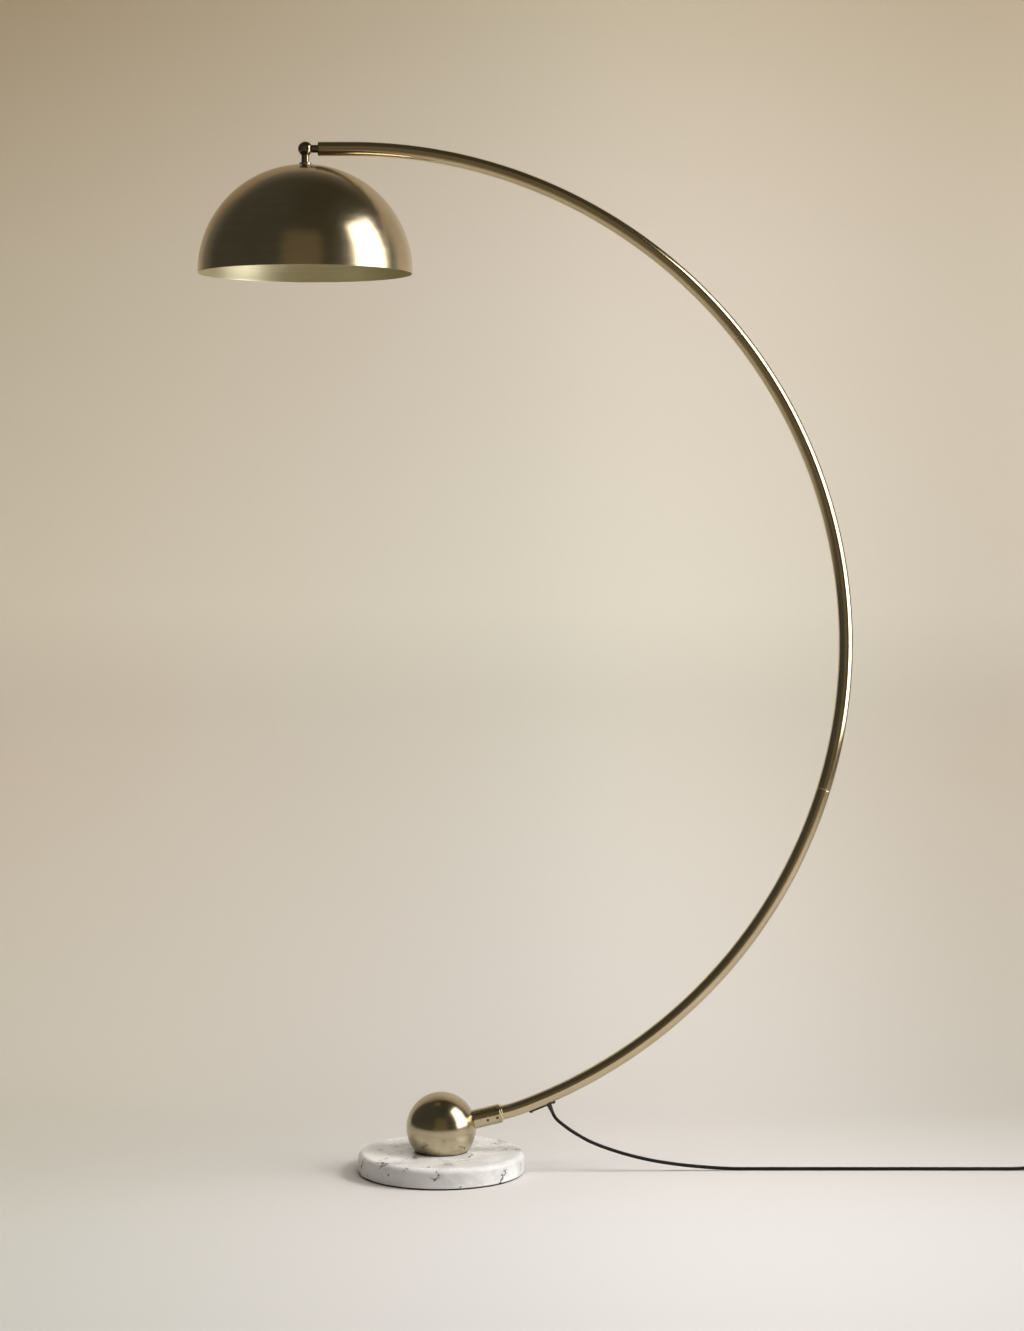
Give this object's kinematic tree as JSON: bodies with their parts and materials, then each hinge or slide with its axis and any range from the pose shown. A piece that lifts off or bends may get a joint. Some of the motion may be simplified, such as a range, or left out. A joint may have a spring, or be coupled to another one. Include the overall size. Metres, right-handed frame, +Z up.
{
  "type": "arc floor lamp",
  "caption": "Floor lamp with a round marble base, a brass ball, a large round arc of brass tube and a tilting half-round dome shade.",
  "frame": {"origin": "centre of the base's underside, on the floor", "axes": "+Z up, +X from the base towards the side that the arc bulges to, +Y square to the arc's plane"},
  "size_m": [1.6545, 0.375, 1.8028],
  "materials": {
    "antique_brass": "satin",
    "dark_bronze": "polished",
    "marble": "satin",
    "black_rubber": "matte",
    "black_plastic": "satin",
    "cord_sheath": "satin",
    "zinc_steel": "satin",
    "black_steel": "satin",
    "fibre": "matte",
    "lead_sheath": "satin",
    "holder_plastic": "satin",
    "bare_brass": "satin",
    "opal_glass": "satin",
    "cap_aluminium": "satin",
    "cap_insulator": "gloss",
    "button_plastic": "satin",
    "nickel": "polished",
    "tie_fabric": "matte"
  },
  "bodies": {
    "stand": {"foot_pad": "black_rubber", "marble_base": "marble", "base_washer": "zinc_steel", "base_bolt": "zinc_steel", "ball_gasket": "black_rubber", "ball": "antique_brass", "arm_sleeve": "antique_brass", "set_screws": "black_steel", "sleeve_ferrule": "bare_brass", "arm_lower": "antique_brass", "arm_middle": "antique_brass", "arm_upper": "antique_brass", "spigot_low": "zinc_steel", "spigot_high": "zinc_steel", "exit_plate": "black_plastic", "exit_screws": "black_steel", "strain_relief": "black_rubber", "arm_lead": "lead_sheath", "arm_end_cap": "dark_bronze", "lamp_cord": "cord_sheath", "plug_cord": "cord_sheath", "cord_tail": "cord_sheath", "cord_coil": "cord_sheath", "coil_tie": "tie_fabric", "switch_base": "black_plastic", "switch_cover": "black_plastic", "switch_block": "holder_plastic", "switch_reliefs": "black_rubber", "plug_body": "black_plastic", "plug_pins": "nickel"},
    "swivel": {"swivel_back": "dark_bronze", "swivel_nut": "zinc_steel", "swivel_washer": "zinc_steel", "pivot_screw": "dark_bronze", "friction_ring": "fibre", "stub_lead": "lead_sheath"},
    "shade": {"swivel_front": "dark_bronze", "stem_collar": "antique_brass", "shade_dome": "antique_brass", "shade_nut": "zinc_steel", "holder_cup": "antique_brass", "holder_nut": "zinc_steel", "holder_body": "holder_plastic", "holder_shell": "bare_brass", "holder_contact": "bare_brass", "shade_lead": "lead_sheath", "bulb_insulator": "cap_insulator", "bulb_cap": "cap_aluminium", "bulb_glass": "opal_glass"},
    "switch_button": {"switch_button": "button_plastic"}
  },
  "joints": [
    {"name": "shade_swivel", "type": "hinge", "parent": "stand", "child": "swivel", "pos_m": [-0.23808, 0, 1.78981], "axis": [1, 0, 0], "range_deg": [-45, 45]},
    {"name": "shade_tilt", "type": "hinge", "parent": "swivel", "child": "shade", "pos_m": [-0.23808, 0, 1.78981], "axis": [0, 1, 0], "range_deg": [-15, 60]},
    {"name": "switch_press", "type": "slide", "parent": "stand", "child": "switch_button", "axis": [0, 0, -1], "range_m": [0, 0.0025], "stiffness_N_per_m": 700, "springref_m": -0.001}
  ]
}
